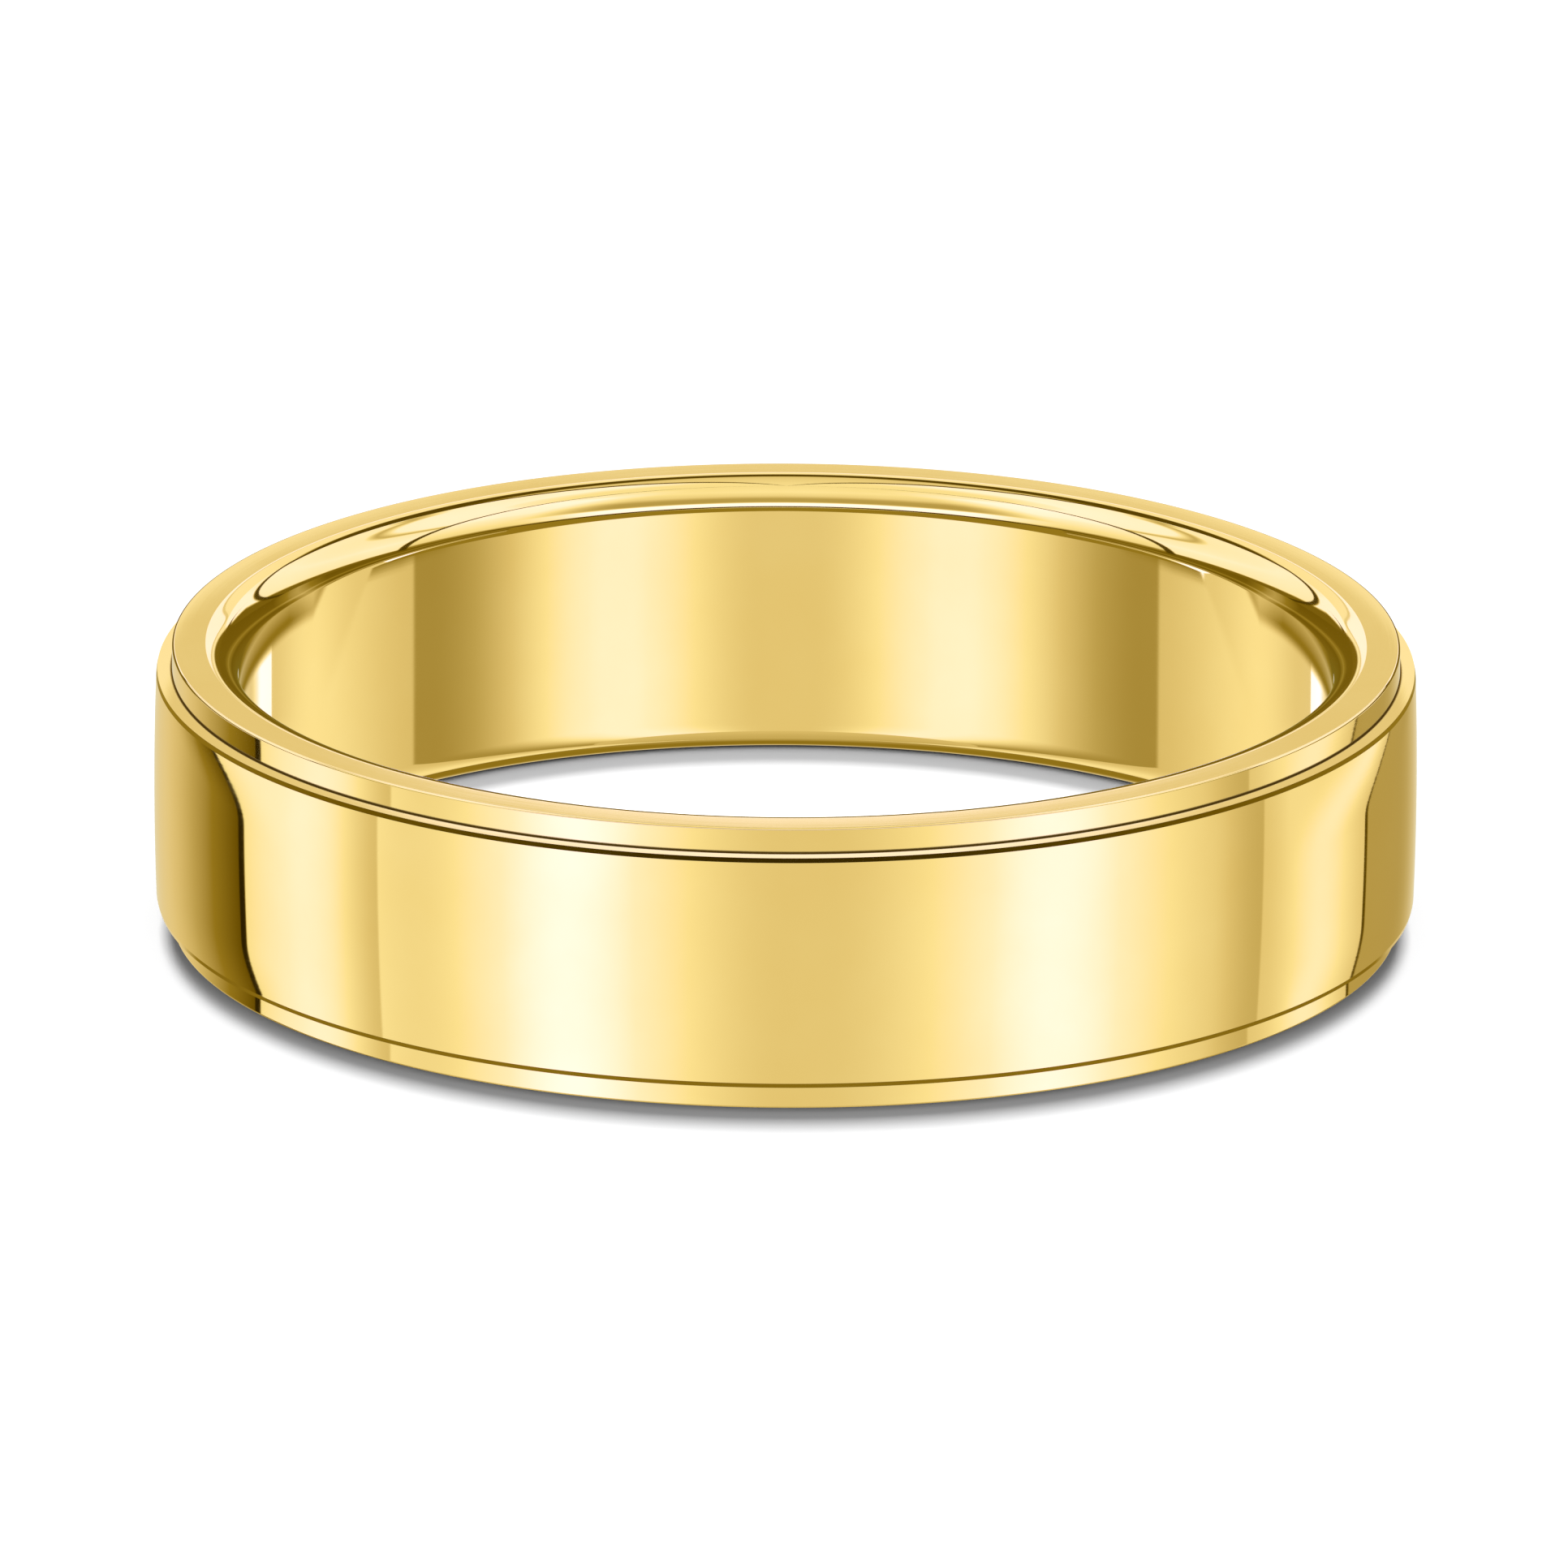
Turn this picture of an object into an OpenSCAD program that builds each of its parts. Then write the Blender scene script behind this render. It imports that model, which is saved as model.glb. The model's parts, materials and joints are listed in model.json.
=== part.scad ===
// Stepped wedding band: a comfort-fit inner sleeve with a raised centre band
// sleeved over it. The finger axis is Z, and one rim rests on Z = 0.

/* [Ring size] */
// Inside diameter at the finger, 18.95 mm is US size 9
bore_d = 18.95; // [14:0.05:24]
// Width of the whole band, from rim to rim
band_w = 5; // [4:0.1:8]

/* [Wall] */
// Wall thickness from the finger to the top of the raised centre
wall_t = 1.45; // [1.3:0.05:2.2]
// How far the raised centre stands above the edge step
step_h = 0.31; // [0.15:0.01:0.4]
// Width of the lower step along each edge
step_w = 0.45; // [0.3:0.05:0.8]

/* [Edges] */
// Radius of the comfort-fit round between the bore and each rim
comfort_r = 0.585; // [0.3:0.005:0.65]
// Radius that breaks the outer edge of each rim
rim_break = 0.04; // [0.02:0.01:0.08]
// How far the middle of the raised centre stands above its sides
crown_h = 0.035; // [0.01:0.005:0.06]
// Height of the fine chamfer along each edge of the raised centre
chamfer_h = 0.08; // [0.04:0.01:0.15]
// Depth of that chamfer, towards the finger axis
chamfer_d = 0.02; // [0.01:0.005:0.04]

/* [Hidden] */

$fn = 180;
bore_r = bore_d / 2;
band_r = bore_r + wall_t;
step_r = band_r - step_h;
rim_in_r = bore_r + comfort_r;
side_r = band_r - crown_h;
mid_z = band_w / 2;

// Half the width of the crowned face, and the radius of its very flat arc
face_half = mid_z - step_w - chamfer_h;
crown_r = (face_half * face_half + crown_h * crown_h) / (2 * crown_h);

// Points along an elliptical arc round a centre, from angle a0 to a1
function arc_points(centre, radii, a0, a1, steps) = [
    for (i = [0 : steps])
        let (a = a0 + (a1 - a0) * i / steps)
        centre + [radii.x * cos(a), radii.y * sin(a)]
];

// The same points mirrored in the band's mid plane, in reverse order
function mirrored(points) = [
    for (i = [len(points) - 1 : -1 : 0]) [points[i].x, band_w - points[i].y]
];

// Comfort round, flat rim, broken edge and step wall of the lower edge
sleeve_half = concat(
    arc_points([rim_in_r, comfort_r], [comfort_r, comfort_r], 180, 270, 16),
    arc_points([step_r - rim_break, rim_break], [rim_break, rim_break], 270, 360, 4)
);

// Flat ledge that stands out from the step wall, up to the chamfer
ledge = [[step_r, step_w], [side_r - chamfer_d, step_w]];

// Crowned face across the middle, from chamfer to chamfer
crown_angle = asin(face_half / crown_r);
crown = arc_points([band_r - crown_r, mid_z], [crown_r, crown_r], -crown_angle, crown_angle, 12);

// Full-width liner with the finger bore, both rims and both edge steps
module inner_sleeve() {
    color([0.87, 0.72, 0.36])
        rotate_extrude()
            polygon(concat(sleeve_half, mirrored(sleeve_half)));
}

// Raised centre, fitted over the sleeve and soldered along the joint
module centre_band() {
    color([0.9, 0.75, 0.4])
        rotate_extrude()
            polygon(concat(ledge, crown, mirrored(ledge)));
}

inner_sleeve();
centre_band();
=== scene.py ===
"""A polished yellow gold wedding band on a plain white floor, in soft studio light."""

import json
import math

import bmesh
import bpy
from mathutils import Matrix, Vector


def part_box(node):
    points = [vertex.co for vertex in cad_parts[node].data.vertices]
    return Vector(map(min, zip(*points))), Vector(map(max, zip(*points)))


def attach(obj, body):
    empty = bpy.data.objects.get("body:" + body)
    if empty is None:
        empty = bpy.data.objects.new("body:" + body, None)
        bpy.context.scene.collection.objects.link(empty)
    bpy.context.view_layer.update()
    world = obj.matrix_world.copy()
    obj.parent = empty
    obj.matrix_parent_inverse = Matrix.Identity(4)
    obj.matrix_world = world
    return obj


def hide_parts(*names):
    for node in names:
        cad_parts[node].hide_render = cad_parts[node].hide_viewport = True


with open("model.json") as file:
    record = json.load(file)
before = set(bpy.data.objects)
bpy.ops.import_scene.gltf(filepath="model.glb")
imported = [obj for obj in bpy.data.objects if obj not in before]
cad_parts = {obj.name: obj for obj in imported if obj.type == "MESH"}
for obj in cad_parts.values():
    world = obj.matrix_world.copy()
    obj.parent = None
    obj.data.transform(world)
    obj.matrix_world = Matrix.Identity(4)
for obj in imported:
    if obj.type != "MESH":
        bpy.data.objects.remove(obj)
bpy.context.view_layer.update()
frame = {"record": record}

MM = 0.001
FULL_TURN = 2 * math.pi

# ---------------------------------------------------------------- dimensions, from the frame
sleeve_low, sleeve_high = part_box("inner_sleeve")
band_low, band_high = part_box("centre_band")
bore = next(m for m in frame["record"]["mounts"] if m["name"] == "finger_bore")

BAND_W = sleeve_high.z
MID_Z = BAND_W / 2
STEP_W = band_low.z
BAND_R = band_high.x
STEP_R = sleeve_high.x
BORE_R = bore["dims"]["r_mm"] * MM
COMFORT_R = (BAND_W - bore["dims"]["length_mm"] * MM) / 2
RIM_IN_R = BORE_R + COMFORT_R
RIM_BREAK = 0.04 * MM
CHAMFER_H = 0.08 * MM
CHAMFER_D = 0.02 * MM
CROWN_H = 0.035 * MM
SIDE_R = BAND_R - CROWN_H

TURNS = 512            # facets round the finger axis


# ---------------------------------------------------------------- lathe work
# An outline lies in the (radius, height) plane and runs anticlockwise round the metal.
# It is made of strips, and a strip is a list of (point, outward normal).

def arc(centre, radii, start, stop, steps):
    """An elliptical arc round a centre, with its angles in degrees."""
    strip = []
    for i in range(steps + 1):
        a = math.radians(start + (stop - start) * i / steps)
        c, s = math.cos(a), math.sin(a)
        point = Vector((centre[0] + radii[0] * c, centre[1] + radii[1] * s))
        strip.append((point, Vector((c / radii[0], s / radii[1])).normalized()))
    return strip


def straight(p, q, steps=1):
    """A straight strip from p to q."""
    p, q = Vector(p), Vector(q)
    along = (q - p).normalized()
    normal = Vector((along.y, -along.x))
    return [(p.lerp(q, i / steps), normal) for i in range(steps + 1)]


def mirrored(strips):
    """The strips seen in the band's mid plane, run the other way."""
    return [
        [(Vector((p.x, BAND_W - p.y)), Vector((n.x, -n.y))) for p, n in reversed(strip)]
        for strip in reversed(strips)
    ]


def lathe(name, strips):
    """Turns an outline about Z into a closed mesh in which each strip keeps its exact normals."""
    outline, ends = [], []
    for strip in strips:
        for (point, normal), (_, next_normal) in zip(strip, strip[1:]):
            outline.append(point)
            ends.append((normal, next_normal))
    rings = len(outline)
    around = [(math.cos(FULL_TURN * t / TURNS), math.sin(FULL_TURN * t / TURNS))
              for t in range(TURNS)]

    vertices = [(p.x * c, p.x * s, p.y) for c, s in around for p in outline]
    faces, normals = [], []
    for t in range(TURNS):
        u = (t + 1) % TURNS
        for k in range(rings):
            m = (k + 1) % rings
            faces.append((t * rings + k, u * rings + k, u * rings + m, t * rings + m))
            for normal, (c, s) in zip((ends[k][0], ends[k][0], ends[k][1], ends[k][1]),
                                      (around[t], around[u], around[u], around[t])):
                normals.append((normal.x * c, normal.x * s, normal.y))

    mesh = bpy.data.meshes.new(name)
    mesh.from_pydata(vertices, [], faces)
    mesh.polygons.foreach_set("use_smooth", [True] * len(faces))
    mesh.normals_split_custom_set(normals)
    piece = bpy.data.objects.new(name, mesh)
    bpy.context.scene.collection.objects.link(piece)
    return piece


def sleeve_strips():
    """Comfort round, flat rim and broken edge on each side, joined by the step wall and the bore."""
    lower = [
        arc((RIM_IN_R, COMFORT_R), (COMFORT_R, COMFORT_R), 180, 270, 40),
        straight((RIM_IN_R, 0), (STEP_R - RIM_BREAK, 0)),
        arc((STEP_R - RIM_BREAK, RIM_BREAK), (RIM_BREAK, RIM_BREAK), -90, 0, 8),
    ]
    step_wall = straight((STEP_R, RIM_BREAK), (STEP_R, BAND_W - RIM_BREAK), 8)
    bore_wall = straight((BORE_R, BAND_W - COMFORT_R), (BORE_R, COMFORT_R), 8)
    return [*lower, step_wall, *mirrored(lower), bore_wall]


def centre_strips():
    """A ledge and a fine chamfer on each side of a very slightly crowned face, and the joint face."""
    face_half = MID_Z - STEP_W - CHAMFER_H
    crown_r = (face_half ** 2 + CROWN_H ** 2) / (2 * CROWN_H)
    crown_angle = math.degrees(math.asin(face_half / crown_r))
    ledge_r = SIDE_R - CHAMFER_D
    edge = [
        straight((STEP_R, STEP_W), (ledge_r, STEP_W), 2),
        straight((ledge_r, STEP_W), (SIDE_R, STEP_W + CHAMFER_H), 2),
    ]
    face = arc((BAND_R - crown_r, MID_Z), (crown_r, crown_r), -crown_angle, crown_angle, 24)
    joint = straight((STEP_R, BAND_W - STEP_W), (STEP_R, STEP_W), 4)
    return [*edge, face, *mirrored(edge), joint]


# ---------------------------------------------------------------- node helpers
class Nodes:
    """Adds nodes to one node tree, and links each input that is given a socket."""

    def __init__(self, tree):
        self.tree = tree
        tree.nodes.clear()

    def add(self, kind, inputs=(), **settings):
        node = self.tree.nodes.new(kind)
        for key, value in settings.items():
            setattr(node, key, value)
        for key, value in dict(inputs).items():
            if isinstance(value, bpy.types.NodeSocket):
                self.tree.links.new(value, node.inputs[key])
            else:
                node.inputs[key].default_value = value
        return node

    def math(self, operation, a, b=0.0, c=0.0):
        return self.add("ShaderNodeMath", {0: a, 1: b, 2: c}, operation=operation).outputs[0]

    def step(self, value, start, end, kind="SMOOTHSTEP"):
        """Goes from 0 to 1 as the value goes from start to end."""
        return self.add("ShaderNodeMapRange", {"Value": value, "From Min": start, "From Max": end},
                        interpolation_type=kind).outputs["Result"]

    def inside(self, value, low, high, soft):
        """1 between low and high, fading to 0 over a soft edge on either side."""
        return self.math("MULTIPLY", self.step(value, low - soft, low),
                         self.step(value, high + soft, high))

    def glow(self, value, centre, reach):
        """1 at the centre, fading to 0 at the reach on either side."""
        away = self.math("ABSOLUTE", self.math("SUBTRACT", value, centre))
        return self.step(away, reach, 0)

    def blend(self, factor, a, b):
        """Mixes two numbers."""
        return self.add("ShaderNodeMix", {0: factor, 2: a, 3: b}, data_type="FLOAT").outputs[0]

    def level(self, value, stops):
        """A number that runs through (value, number) stops in order."""
        low, high = stops[0][0], stops[-1][0]
        place = self.step(value, low, high, "LINEAR")
        least = min(0.0, *(number for _, number in stops))      # a ramp holds no number below 0
        number = self.ramp(place, [((at - low) / (high - low), number - least)
                                   for at, number in stops])
        return self.math("ADD", number, least) if least < 0 else number

    def ramp(self, factor, stops):
        """A colour ramp. Stops are (position, colour), and a colour may be one number for a grey."""
        node = self.add("ShaderNodeValToRGB", {"Fac": factor})
        elements = node.color_ramp.elements
        while len(elements) < len(stops):
            elements.new(1.0)
        for element, (position, _) in zip(elements, stops):
            element.position = position
        for element, (_, colour) in zip(elements, stops):
            rgb = (colour,) * 3 if isinstance(colour, (int, float)) else colour
            element.color = (*rgb, 1.0)
        return node.outputs["Color"]

    def mix(self, factor, a, b):
        """Mixes two colours."""
        node = self.add("ShaderNodeMix", data_type="RGBA")
        for key, value in ((0, factor), (6, a), (7, b)):
            if isinstance(value, bpy.types.NodeSocket):
                self.tree.links.new(value, node.inputs[key])
            else:
                node.inputs[key].default_value = value if key == 0 else (*value, 1.0)
        return node.outputs[2]


# ---------------------------------------------------------------- gold
GOLD = (1.0, 0.78, 0.34)
GOLD_DEEP = (0.98, 0.745, 0.30)
EDGE_TINT = (1.0, 0.93, 0.77)         # gold seen at a grazing angle
# painted shade in the corner between the pieces: its colour, and the distances from the corner where
# it is full and where it is gone
CORNER_SHADE = (0.22, 0.12, 0.015)         # dull brown, not metal
CORNER_SHADE_FULL, CORNER_SHADE_END = 0.02 * MM, 0.05 * MM


def gold(name, roughness):
    """High polish yellow gold: hair-fine lines left by the lathe polish, faint wear, and a painted
    shade line in the corner where the centre band meets the sleeve.
    """
    material = bpy.data.materials.new(name)
    material.use_nodes = True
    n = Nodes(material.node_tree)
    place = n.add("ShaderNodeTexCoord").outputs["Object"]
    xyz = n.add("ShaderNodeSeparateXYZ", {"Vector": place})
    flat = n.add("ShaderNodeCombineXYZ", {"X": xyz.outputs["X"], "Y": xyz.outputs["Y"]}).outputs[0]
    radius = n.add("ShaderNodeVectorMath", {0: flat}, operation="LENGTH").outputs["Value"]
    around = n.add("ShaderNodeVectorMath", {0: flat}, operation="NORMALIZE").outputs["Vector"]
    along = n.math("ADD", radius, xyz.outputs["Z"])
    turn = n.add("ShaderNodeSeparateXYZ", {"Vector": around})

    # lines that run round the axis on the walls and on the rims alike
    line_place = n.add("ShaderNodeCombineXYZ", {
        "X": n.math("MULTIPLY", turn.outputs["X"], 3.0),
        "Y": n.math("MULTIPLY", turn.outputs["Y"], 3.0),
        "Z": n.math("MULTIPLY", along, 22 / MM),
    }).outputs[0]
    lines = n.add("ShaderNodeTexNoise", {"Vector": line_place, "Scale": 1.0, "Detail": 3.0,
                                         "Roughness": 0.6}).outputs["Fac"]
    clouds = n.add("ShaderNodeTexNoise", {"Vector": place, "Scale": 0.35 / MM, "Detail": 4.0,
                                          "Roughness": 0.55}).outputs["Fac"]

    # painted shade: a dark brown, non-metal line in the corner where the centre band meets the sleeve
    in_from_step = n.math("SUBTRACT", radius, STEP_R)
    up_from_step = n.math("SUBTRACT", n.math("ABSOLUTE", n.math("SUBTRACT", xyz.outputs["Z"], MID_Z)),
                          MID_Z - STEP_W)
    from_corner = n.math("SQRT", n.math("ADD", n.math("POWER", in_from_step, 2.0),
                                        n.math("POWER", up_from_step, 2.0)))
    unshaded = n.step(from_corner, CORNER_SHADE_FULL, CORNER_SHADE_END)
    tint = n.mix(unshaded, CORNER_SHADE, n.ramp(clouds, [(0.3, GOLD_DEEP), (0.7, GOLD)]))
    gloss = n.add("ShaderNodeMapRange", {"Value": n.math("MULTIPLY", lines, clouds),
                                         "From Min": 0.1, "From Max": 0.45,
                                         "To Min": roughness * 0.7,
                                         "To Max": roughness * 1.4}).outputs["Result"]
    bump = n.add("ShaderNodeBump", {"Height": lines, "Strength": 0.02,
                                    "Distance": 0.002 * MM}).outputs["Normal"]
    shader = n.add("ShaderNodeBsdfPrincipled", {"Base Color": tint, "Metallic": unshaded,
                                                "Roughness": gloss, "Normal": bump,
                                                "Specular Tint": (*EDGE_TINT, 1.0),
                                                "Specular IOR Level": 0.0})
    n.add("ShaderNodeOutputMaterial", {"Surface": shader.outputs[0]})
    return material


# ---------------------------------------------------------------- studio
# Polished gold shows only what it reflects, so the studio is built for its reflections: a light
# tent all round, and a curved card inside the bore. Places on them are degrees round from the
# camera, + to its right, and degrees up from the horizon. A tone is a brightness from 0 to 1.
TENT_R = 75 * MM

# The wall of the tent is even cloth with soft lamps behind it, as (centre, reach, gain), and one
# fold on each side, as (sharp edge, where its shade ends, depth), all in degrees from the middle.
CLOTH = 0.74
LEFT_LAMPS = ((37, 37, 0.25), (92, 34, 0.20))
RIGHT_LAMPS = ((47, 40, 0.24), (108, 18, 0.17))
LEFT_FOLD = (74, 88, 0.13)
RIGHT_FOLD = (91, 78, 0.10)
OVAL_UP, OVAL_HALF_WIDE, OVAL_HALF_HIGH = 19.4, 8.9, 2.7      # the card that the rims see, behind

# What a tone looks like as light: brown shade, warm wall, cool lamp.
TONES = (
    (0.0, (0.006, 0.003, 0.0)), (0.24, (0.156, 0.108, 0.004)), (0.45, (0.30, 0.23, 0.03)),
    (0.60, (0.52, 0.45, 0.22)), (0.72, (0.745, 0.68, 0.46)), (0.84, (0.99, 0.98, 0.83)),
    (0.93, (1.10, 1.12, 1.48)), (1.0, (1.3, 1.35, 2.6)),
)


def reflected_only(piece):
    """Hides a studio piece from everything but the reflections in the gold."""
    piece.visible_camera = False
    piece.visible_diffuse = False
    piece.visible_shadow = False
    piece.visible_transmission = False
    piece.visible_volume_scatter = False


def add_object(name, vertices, faces):
    mesh = bpy.data.meshes.new(name)
    mesh.from_pydata(vertices, [], faces)
    thing = bpy.data.objects.new(name, mesh)
    bpy.context.scene.collection.objects.link(thing)
    return thing


def glowing(name):
    """A material for a studio piece, and its node tree."""
    material = bpy.data.materials.new(name)
    material.use_nodes = True
    material.cycles.emission_sampling = "NONE"
    return material, Nodes(material.node_tree)


def direction(n):
    """Degrees round from the camera and degrees up, of a point on a studio piece."""
    place = n.add("ShaderNodeTexCoord").outputs["Object"]
    way = n.add("ShaderNodeVectorMath", {0: place}, operation="NORMALIZE").outputs["Vector"]
    x, y, z = n.add("ShaderNodeSeparateXYZ", {"Vector": way}).outputs
    around = n.math("ARCTAN2", x, n.math("MULTIPLY", y, -1.0))
    return n.math("DEGREES", around), n.math("DEGREES", n.math("ARCSINE", z))


def lit_cloth(n, across, lamps, fold):
    """Cloth with its lamps and its fold, by degrees from the middle."""
    tone = CLOTH
    for centre, reach, gain in lamps:
        tone = n.math("MULTIPLY_ADD", n.glow(across, centre, reach), gain, tone)
    at, far, depth = fold
    edge = 0.3 if far > at else -0.3
    shade = n.math("MULTIPLY", n.step(across, far, at), n.step(across, at - edge, at + edge))
    return n.math("MULTIPLY_ADD", shade, -depth, tone)


def cloth_left(n, across):
    """The left of the tent, with a flag that is black at its edge and clears towards the back."""
    tone = lit_cloth(n, across, LEFT_LAMPS, LEFT_FOLD)
    depth = n.math("POWER", n.step(across, 150, 111, "LINEAR"), 2.0)
    flag = n.math("MULTIPLY_ADD", depth, -0.54, CLOTH)
    tone = n.blend(n.step(across, 109.2, 109.8), tone, 0.03)
    return n.blend(n.step(across, 111.2, 111.6), tone, flag)


def cloth_right(n, across):
    """The right of the tent, with a brown flag that has a thin dark edge."""
    tone = lit_cloth(n, across, RIGHT_LAMPS, RIGHT_FOLD)
    flag = n.blend(n.step(across, 142, 168), 0.57, CLOTH)
    tone = n.blend(n.step(across, 124.0, 124.3), tone, 0.15)
    return n.blend(n.step(across, 125.0, 125.6), tone, flag)


def tent_tone(n):
    """The tone of the light tent, from its wall to its roof and its underside."""
    around, up = direction(n)
    side = n.math("ABSOLUTE", around)

    # the cloth wall; the dark flags at its sides curve out at the top and in at the bottom
    right = n.step(around, -0.01, 0.01)
    top = n.step(n.math("SUBTRACT", up, n.blend(right, -14.5, -15.2)), 0, 2.6)
    shift = n.math("MULTIPLY", n.math("MULTIPLY", top, n.step(side, 98, 126, "LINEAR")), -26)
    low = n.math("MULTIPLY", n.step(up, -18.3, -21), n.step(side, 96, 104))
    shift = n.math("ADD", shift, n.math("MULTIPLY", low, 7))
    across = n.math("ADD", side, shift)
    cloth = n.blend(right, cloth_left(n, across), cloth_right(n, across))

    # over the cloth in front: a thin lamp, the dim room, then the ceiling
    front = n.level(up, ((6, 0.45), (9, 0.98), (24, 1.0), (28, 0.62), (32, 0.57), (41, 0.59),
                         (51, 0.77), (66, 0.85), (76, 0.835), (90, 0.815)))
    flank = n.level(up, ((2, 0.40), (9, 0.42), (13, 0.80), (30, 0.88), (44, 0.95), (63, 0.97),
                         (70, 0.90), (78, 0.83), (90, 0.82)))
    roof = n.blend(n.step(side, 40, 68), front, flank)

    # at the side: a dark gap, a long lamp with a slanted end, and the ceiling
    lamp_low = n.level(side, ((93, 9), (120, 12), (140, 15), (157, 17), (164, 14), (180, 14)))
    in_lamp = n.math("SUBTRACT", up, lamp_low)
    lamp = n.level(in_lamp, ((0, 0.30), (2, 0.90), (18, 0.94), (30, 0.90), (32, 0.62), (35, 0.94),
                             (50, 0.95), (58, 0.84), (80, 0.82)))
    roof = n.blend(n.step(side, 90.5, 91), roof, 0.12)
    roof = n.blend(n.step(side, 93, 94), roof, lamp)

    # behind: a small lamp on each side, and between them the ceiling over a dark bar. The rims see
    # only an oval there, which is a plain card with a third lamp inside it.
    small_lamp = n.level(in_lamp, ((0, 0.30), (2, 0.95), (12, 0.95), (22, 0.85), (76, 0.82)))
    middle = n.level(up, ((14.4, 0.30), (15.4, 0.86), (33, 0.85), (35, 0.15), (45, 0.15), (48, 0.73),
                          (60, 0.765), (76, 0.80), (90, 0.815)))
    oval_x = n.math("DIVIDE", n.math("SUBTRACT", side, 180), OVAL_HALF_WIDE)
    oval_y = n.math("DIVIDE", n.math("SUBTRACT", up, OVAL_UP), OVAL_HALF_HIGH)
    oval_x, oval_y = n.math("POWER", oval_x, 2.0), n.math("POWER", oval_y, 2.0)
    oval = n.math("ADD", oval_x, oval_y)
    middle = n.blend(n.step(oval, 0.84, 0.78), middle, 0.95)
    middle = n.blend(n.inside(oval, 0.84, 1.20, 0.06), middle, 0.745)
    back = n.blend(n.step(side, 169.3, 169.9), small_lamp, middle)
    lamp_end = n.math("SUBTRACT", side, n.math("MULTIPLY", n.math("MINIMUM", up, 33.0), 1.36))
    roof = n.blend(n.step(lamp_end, 121.5, 122), roof, 0.12)
    roof = n.blend(n.step(lamp_end, 124, 126), roof, back)

    roof_start = n.level(side, ((0, 2), (60, 2), (85, -2), (110, -6), (150, -6), (160, -13.4),
                                (180, -13.4)))
    tone = n.blend(n.step(n.math("SUBTRACT", up, roof_start), 0, 1.2), cloth, roof)

    # the underside: evenly lit below, and dark far down at the back
    under = n.blend(n.step(side, 80, 140), 0.70, 0.42)
    under = n.blend(n.step(up, -60, -88), under, 0.64)
    tone = n.blend(n.step(up, -24, -50), tone, under)

    # two dark lines all round, where the upper chamfer of the centre band looks and the lower one
    lean = n.math("COSINE", n.math("RADIANS", n.math("MULTIPLY", side, 0.5)))
    above = n.math("SUBTRACT", up, n.math("MULTIPLY_ADD", lean, 26.5, -16.0))
    upper = n.math("MULTIPLY", n.inside(above, -1.7, 1.7, 0.6), n.step(side, 168, 148))
    tone = n.blend(upper, tone, n.blend(n.step(side, 0, 180), 0.05, 0.50))
    above = n.math("SUBTRACT", up, n.math("MULTIPLY_ADD", lean, -23.5, -17.5))
    lower = n.math("MULTIPLY", n.inside(above, -1.4, 1.4, 0.5), n.step(side, 150, 135))
    return n.blend(lower, tone, 0.36)


def light_tent():
    """A tent all round that only the reflections see."""
    shape = bmesh.new()
    bmesh.ops.create_icosphere(shape, subdivisions=6, radius=TENT_R)
    tent = add_object("light_tent", [], [])
    shape.to_mesh(tent.data)
    shape.free()
    tent.location = (0, 0, MID_Z)
    reflected_only(tent)
    material, n = glowing("tent_cloth")
    light = n.ramp(tent_tone(n), TONES)
    glow = n.add("ShaderNodeEmission", {"Color": light, "Strength": 1.0})
    n.add("ShaderNodeOutputMaterial", {"Surface": glow.outputs[0]})
    tent.data.materials.append(material)
    return tent


CARD_R = BORE_R - 0.008 * MM
CARD_LOW, CARD_HIGH = -25 * MM, 5.7 * MM
CARD_STEPS = 256

# Where a strip lamp starts on the card, in degrees from the far side of the bore.
STRIP_LEFT, STRIP_RIGHT = 30.5, 41


def strip_lamp(n, side, start):
    """A lamp with a sharp near edge, fading out over its far half."""
    return n.math("MULTIPLY", n.step(side, start - 0.4, start + 0.4),
                  n.step(side, start + 24, start + 10))


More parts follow.
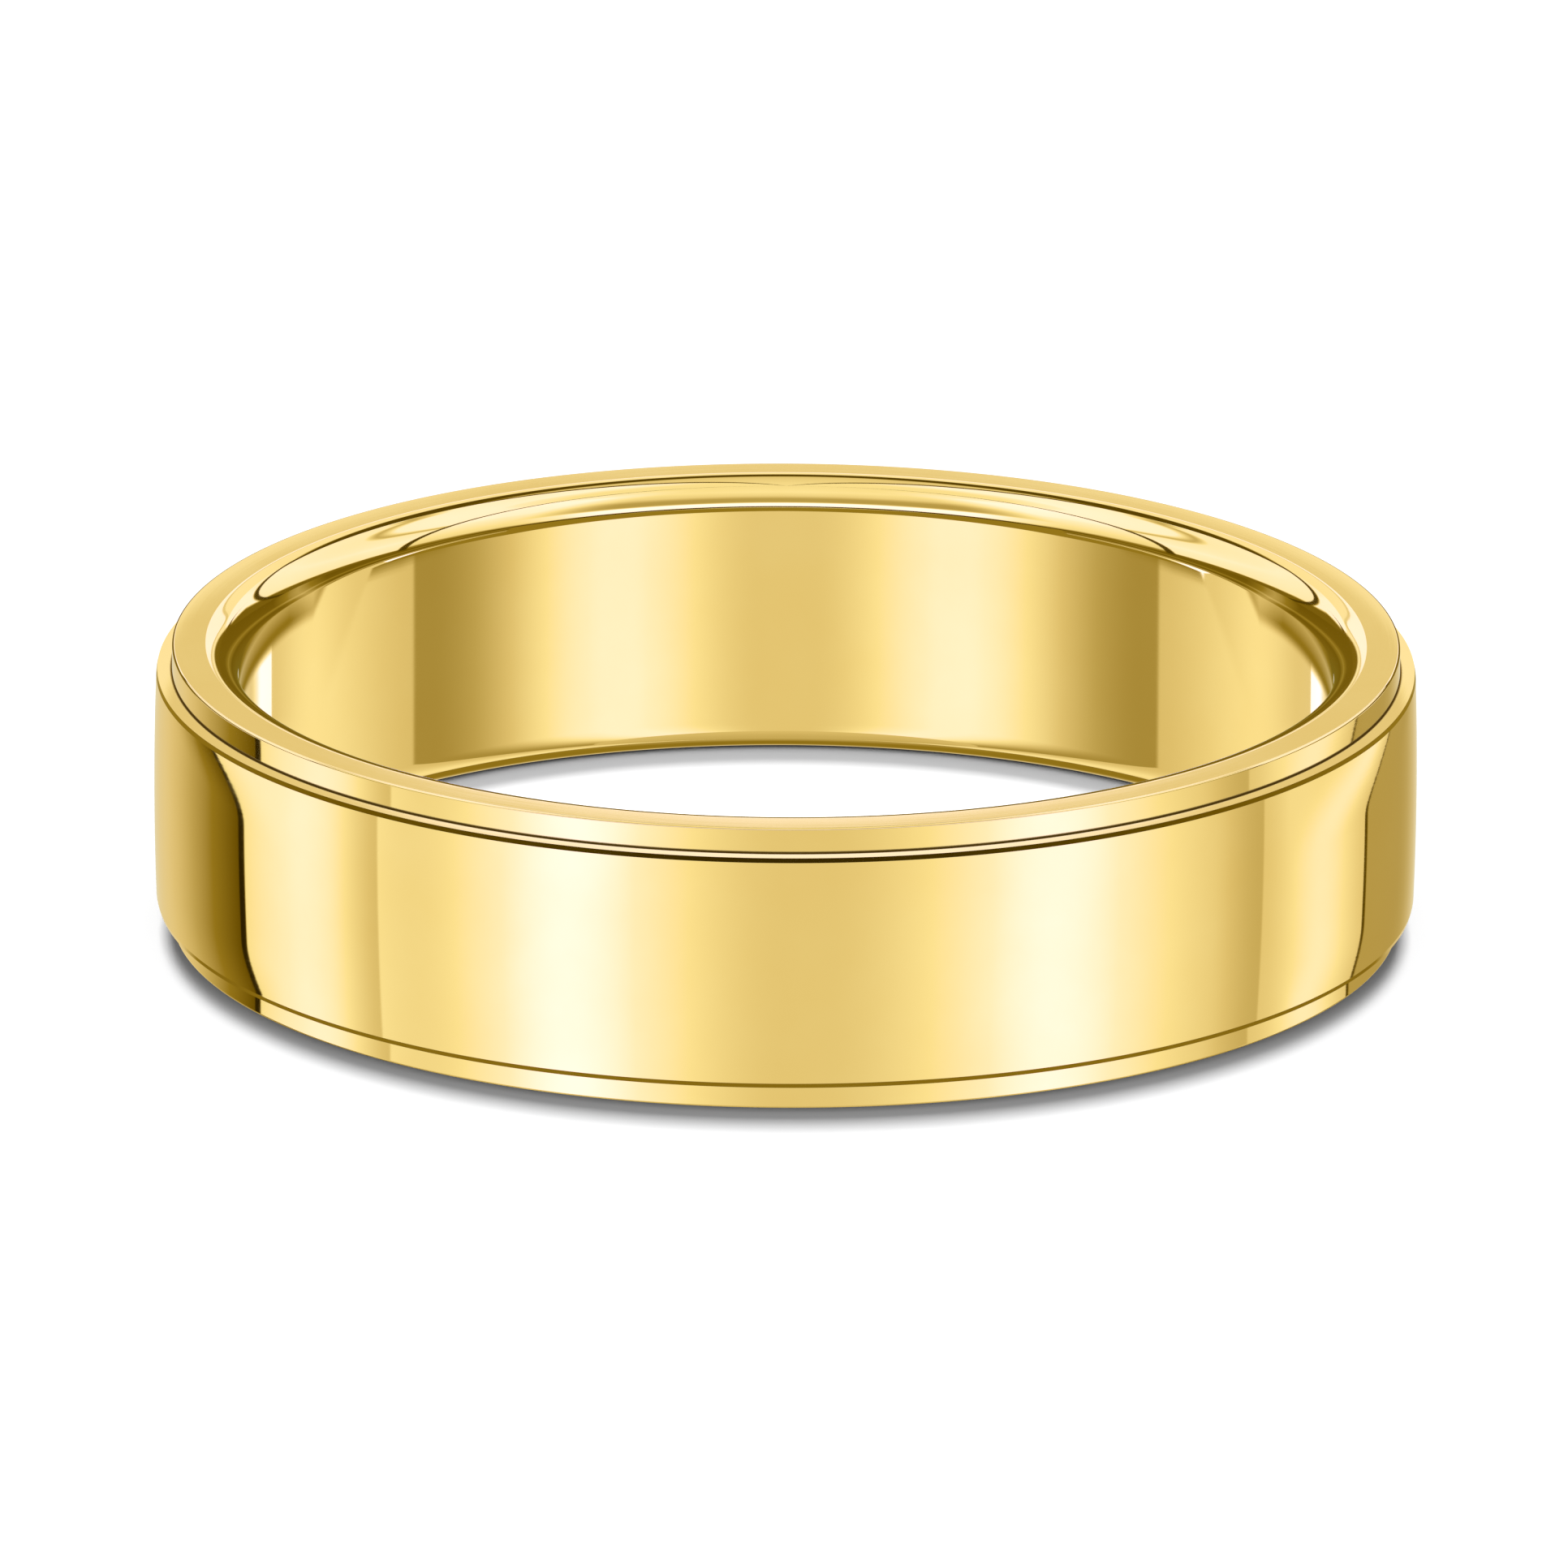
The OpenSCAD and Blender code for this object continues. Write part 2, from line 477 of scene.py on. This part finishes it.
def bore_card():
    """A round card inside the bore. Only reflections see it, and only its inward face."""
    ends = [(CARD_R * math.sin(a), CARD_R * math.cos(a))
            for a in (FULL_TURN * i / CARD_STEPS for i in range(CARD_STEPS))]
    vertices = [(x, y, z) for x, y in ends for z in (CARD_LOW, CARD_HIGH)]
    nexts = [(i, (i + 1) % CARD_STEPS) for i in range(CARD_STEPS)]
    faces = [(2 * j, 2 * j + 1, 2 * i + 1, 2 * i) for i, j in nexts]
    card = add_object("bore_card", vertices, faces)
    reflected_only(card)
    material, n = glowing("card_cloth")
    x, y, z = n.add("ShaderNodeSeparateXYZ",
                    {"Vector": n.add("ShaderNodeTexCoord").outputs["Object"]}).outputs
    around = n.math("DEGREES", n.math("ARCTAN2", x, y))
    side = n.math("ABSOLUTE", around)
    height = n.math("DIVIDE", z, MM)
    right = n.step(around, -0.1, 0.1)

    # an upper part with a strip lamp on each side and a streaky brown top, over the lower part,
    # which has a sharp shade on each side that clears into a lamp towards the camera
    strips = n.blend(right, strip_lamp(n, side, STRIP_LEFT), strip_lamp(n, side, STRIP_RIGHT))
    upper = n.math("MULTIPLY_ADD", n.glow(side, 0, 30), 0.09, 0.75)
    upper = n.math("MULTIPLY_ADD", strips, 0.25, upper)
    over = n.math("SUBTRACT", height, n.level(side, ((0, 0.93), (16, 1.4), (90, 3.3),
                                                     (180, 5.6))))
    streaks = n.level(over, ((0, 0.62), (0.25, 0.42), (0.6, 0.62), (0.9, 0.30), (1.5, 0.26),
                             (2.0, 0.48), (2.4, 0.28), (4, 0.25)))
    fade = n.level(side, ((0, 0.45), (4, 0.55), (16, 1.0), (180, 1.0)))
    upper = n.blend(n.math("MULTIPLY", n.step(over, -0.05, 0.2), fade), upper, streaks)
    lower = n.math("MULTIPLY_ADD", n.glow(side, 0, 60), 0.14, 0.70)
    shaded = n.math("MULTIPLY_ADD", n.step(side, 58, 122), 0.42, 0.52)
    shaded = n.math("MULTIPLY_ADD", n.step(side, 130, 172), -0.20, shaded)
    lower = n.blend(n.step(side, 50, 52), lower, shaded)
    shade_start = n.level(side, ((0, 0.9), (15, 0.68), (30, 0.34), (45, 0.0), (64, -0.3),
                                 (90, -0.3), (111, 0.5), (140, 1.4), (180, 1.8)))
    in_shade = n.math("SUBTRACT", height, shade_start)
    in_shade = n.math("MULTIPLY", n.step(in_shade, 0.0, 0.35), n.step(side, 18, 34))
    lower = n.blend(in_shade, lower, 0.45)
    edge = n.level(side, ((0, -1.2), (15, -0.4), (30, 0.45), (36, 0.8), (45, 1.3), (60, 2.1),
                          (90, 3.2), (96, 9), (180, 9)))
    soft = n.level(side, ((0, 0.4), (20, 0.3), (32, 0.05), (180, 0.05)))
    tone = n.blend(n.step(n.math("DIVIDE", n.math("SUBTRACT", height, edge), soft), -1, 1),
                   lower, upper)

    # open from behind
    glow = n.add("ShaderNodeEmission", {"Color": n.ramp(tone, TONES), "Strength": 1.0})
    behind = n.add("ShaderNodeNewGeometry").outputs["Backfacing"]
    clear = n.add("ShaderNodeBsdfTransparent")
    surface = n.add("ShaderNodeMixShader", {0: behind, 1: glow.outputs[0], 2: clear.outputs[0]})
    n.add("ShaderNodeOutputMaterial", {"Surface": surface.outputs[0]})
    card.data.materials.append(material)
    return card


FLOOR_HALF = 1.5


def white_floor():
    """A plain white floor, which the gold doesn't reflect."""
    corners = [(-1, -1), (1, -1), (1, 1), (-1, 1)]
    floor = add_object("floor", [(x * FLOOR_HALF, y * FLOOR_HALF, 0) for x, y in corners],
                       [(0, 1, 2, 3)])
    floor.visible_glossy = False
    material = bpy.data.materials.new("floor_white")
    material.use_nodes = True
    n = Nodes(material.node_tree)
    paper = n.add("ShaderNodeBsdfDiffuse", {"Color": (0.9, 0.9, 0.9, 1.0)})
    n.add("ShaderNodeOutputMaterial", {"Surface": paper.outputs[0]})
    floor.data.materials.append(material)
    return floor


AIR_LIGHT, BACKDROP = 0.52, 1.0       # strength of the world as light, and as the camera sees it
KEY_SIZE = (0.03, 0.095)
KEY_PLACE = (0, 0.093, 0.54)
KEY_WATTS = 2.5
FILL_SIZE = 16 * MM
FILL_PLACE = (0, 0, 4.9 * MM)
FILL_WATTS = 0.001


def unseen_lamp(name, shape, watts, place):
    """An area lamp that neither the camera nor the gold sees."""
    lamp = bpy.data.lights.new(name, "AREA")
    lamp.shape = shape
    lamp.energy = watts
    thing = bpy.data.objects.new(name, lamp)
    bpy.context.scene.collection.objects.link(thing)
    thing.location = place
    thing.visible_glossy = False
    thing.visible_camera = False
    return lamp


def soft_lights():
    """An even world, a key lamp and a faint fill."""
    world = bpy.data.worlds.new("studio")
    bpy.context.scene.world = world
    world.use_nodes = True
    n = Nodes(world.node_tree)
    path = n.add("ShaderNodeLightPath")
    strength = n.add("ShaderNodeMapRange", {"Value": path.outputs["Is Camera Ray"],
                                            "To Min": AIR_LIGHT,
                                            "To Max": BACKDROP}).outputs["Result"]
    back = n.add("ShaderNodeBackground", {"Color": (1, 1, 1, 1), "Strength": strength})
    n.add("ShaderNodeOutputWorld", {"Surface": back.outputs[0]})

    # a long soft key, overhead and a little behind, drops a short shadow in front of each wall
    key = unseen_lamp("key", "RECTANGLE", KEY_WATTS, KEY_PLACE)
    key.size, key.size_y = KEY_SIZE

    # a faint disk in the mouth of the bore lights the floor inside it
    fill = unseen_lamp("bore_fill", "DISK", FILL_WATTS, FILL_PLACE)
    fill.size = FILL_SIZE


# ---------------------------------------------------------------- camera
CAMERA_DISTANCE = 571.3 * MM
CAMERA_ELEVATION = math.radians(17.56)
CAMERA_ROLL = math.radians(0.26)
VIEW_W = 27.142 * MM               # what the picture spans at the band
SENSOR = 36.0
LOOK_RIGHT, LOOK_UP = -0.026 * MM, -0.063 * MM    # the band sits a touch off the middle


def camera():
    """The camera, aimed at the middle of the band."""
    data = bpy.data.cameras.new("camera")
    data.sensor_width = SENSOR
    data.lens = SENSOR * CAMERA_DISTANCE / VIEW_W
    view = bpy.data.objects.new("camera", data)
    bpy.context.scene.collection.objects.link(view)
    bpy.context.scene.camera = view
    back = Vector((0, -math.cos(CAMERA_ELEVATION), math.sin(CAMERA_ELEVATION)))
    turn = (-back).to_track_quat("-Z", "Y").to_matrix()
    right, up = turn.col[0], turn.col[1]
    aim = Vector((0, 0, MID_Z)) + right * LOOK_RIGHT + up * LOOK_UP
    turn = turn @ Matrix.Rotation(CAMERA_ROLL, 3, "Z")
    view.matrix_world = Matrix.Translation(aim + back * CAMERA_DISTANCE) @ turn.to_4x4()
    data.clip_start = 0.01


# ---------------------------------------------------------------- build
camera()
floor = white_floor()
light_tent()
bore_card()
soft_lights()
bpy.context.scene.view_settings.view_transform = "Standard"
bpy.context.scene.cycles.caustics_reflective = False

sleeve = lathe("inner_sleeve_gold", sleeve_strips())
sleeve.data.materials.append(gold("gold_sleeve", 0.035))
sleeve.visible_glossy = False
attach(sleeve, "root")
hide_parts("inner_sleeve")

centre = lathe("centre_band_gold", centre_strips())
centre.data.materials.append(gold("gold_centre", 0.03))
centre.visible_glossy = False
centre.visible_shadow = False
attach(centre, "root")
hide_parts("centre_band")
